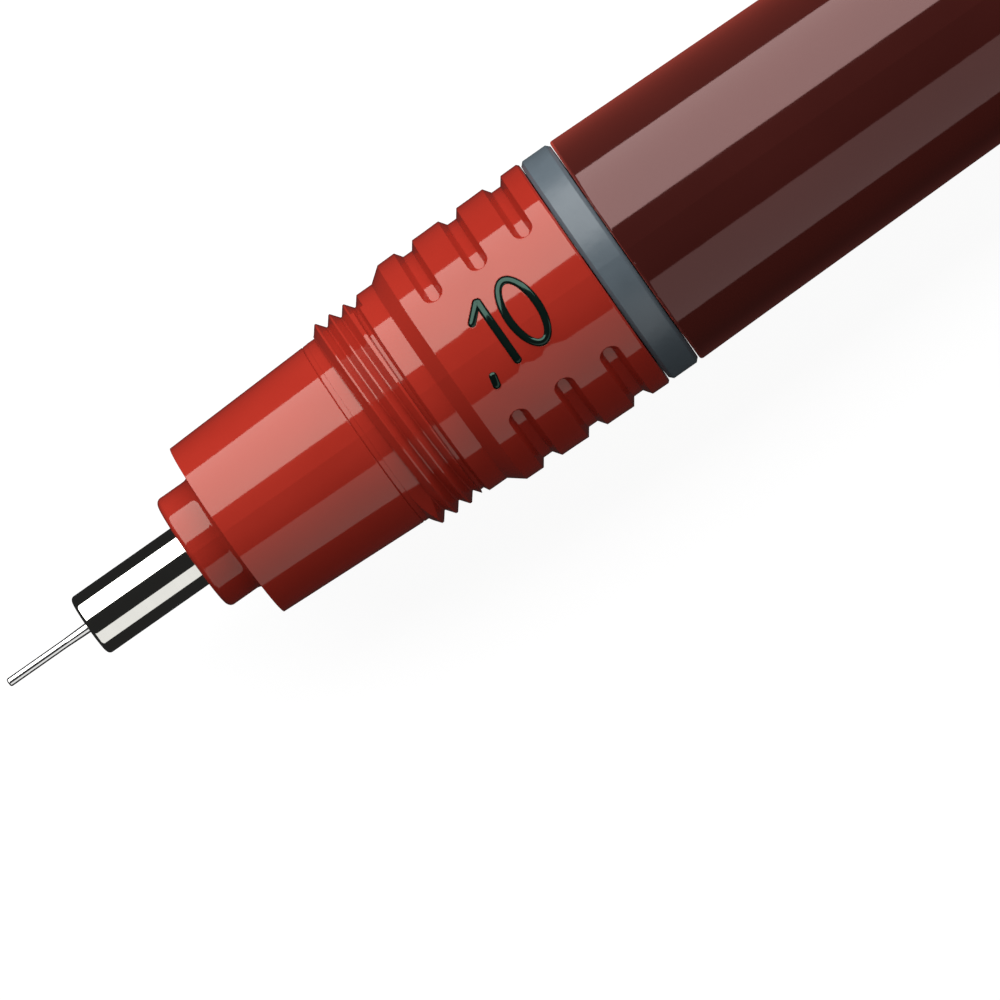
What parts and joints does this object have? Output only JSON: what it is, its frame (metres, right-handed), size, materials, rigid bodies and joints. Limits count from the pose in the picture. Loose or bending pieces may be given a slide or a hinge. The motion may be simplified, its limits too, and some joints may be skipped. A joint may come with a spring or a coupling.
{
  "type": "technical pen",
  "caption": "Capillary technical pen with a stepped steel writing tube, red threaded grip section, grey colour ring and oxblood barrel; screw cap with pocket clip pushed on to the tail.",
  "frame": {"origin": "centre of the writing tube's end, on the pen's axis", "axes": "+X along the pen's axis, from the point to the tail; +Z through the line-width numerals"},
  "size_m": [0.1458, 0.0135, 0.0121],
  "materials": {
    "tube_steel": "fine drawn stainless",
    "ferrule_steel": "polished",
    "weight_steel": "turned stainless",
    "clip_steel": "satin stamped strip",
    "red_plastic": "glossy moulding",
    "black_plastic": "glossy raised numerals",
    "grey_plastic": "satin blue-grey",
    "oxblood_plastic": "glossy moulding",
    "natural_plastic": "natural moulding",
    "white_plastic": "satin moulding",
    "clear_plastic": "translucent",
    "seal_rubber": "soft matt"
  },
  "bodies": {
    "point_section": {"writing_tube": "tube_steel", "tip_ferrule": "ferrule_steel", "nose_cone": "red_plastic", "weight_chamber": "natural_plastic", "safety_plug": "white_plastic", "grip_section": "red_plastic", "line_width_numerals": "black_plastic", "cartridge_shell": "clear_plastic", "cartridge_seal": "seal_rubber", "capillary_spiral": "white_plastic", "cartridge_plug": "natural_plastic"},
    "shuttle": {"drop_weight": "weight_steel", "cleaning_wire": "weight_steel"},
    "ring": {"colour_ring": "grey_plastic"},
    "barrel": {"barrel": "oxblood_plastic", "barrel_end_plug": "oxblood_plastic"},
    "cap": {"cap_shell": "oxblood_plastic", "cap_seal": "seal_rubber", "cap_inner_cup": "natural_plastic", "clip_ring": "clip_steel", "cap_crown": "oxblood_plastic", "crown_disc": "red_plastic"},
    "clip": {"pocket_clip": "clip_steel"}
  },
  "joints": [
    {"name": "weight_slide", "type": "slide", "parent": "point_section", "child": "shuttle", "axis": [1, 0, 0], "range_m": [-0.0004, 0.0035]},
    {"name": "ring_turn", "type": "hinge", "parent": "point_section", "child": "ring", "pos_m": [0.03253, 0, 0], "axis": [1, 0, 0], "range_deg": [0, 1800]},
    {"name": "barrel_advance", "type": "slide", "parent": "ring", "child": "barrel", "axis": [1, 0, 0], "range_m": [0, 0.005]},
    {"name": "cap_pull", "type": "slide", "parent": "barrel", "child": "cap", "axis": [1, 0, 0], "range_m": [0, 0.012]},
    {"name": "clip_flex", "type": "hinge", "parent": "cap", "child": "clip", "pos_m": [0.14191, -0.00657, -0.00474], "axis": [0, -0.5856, 0.8106], "range_deg": [0, 6], "stiffness_Nm_per_rad": 0.3}
  ],
  "couplings": [
    {"joint": "barrel_advance", "follows": "ring_turn", "m_per_rad": 0.00015915}
  ]
}
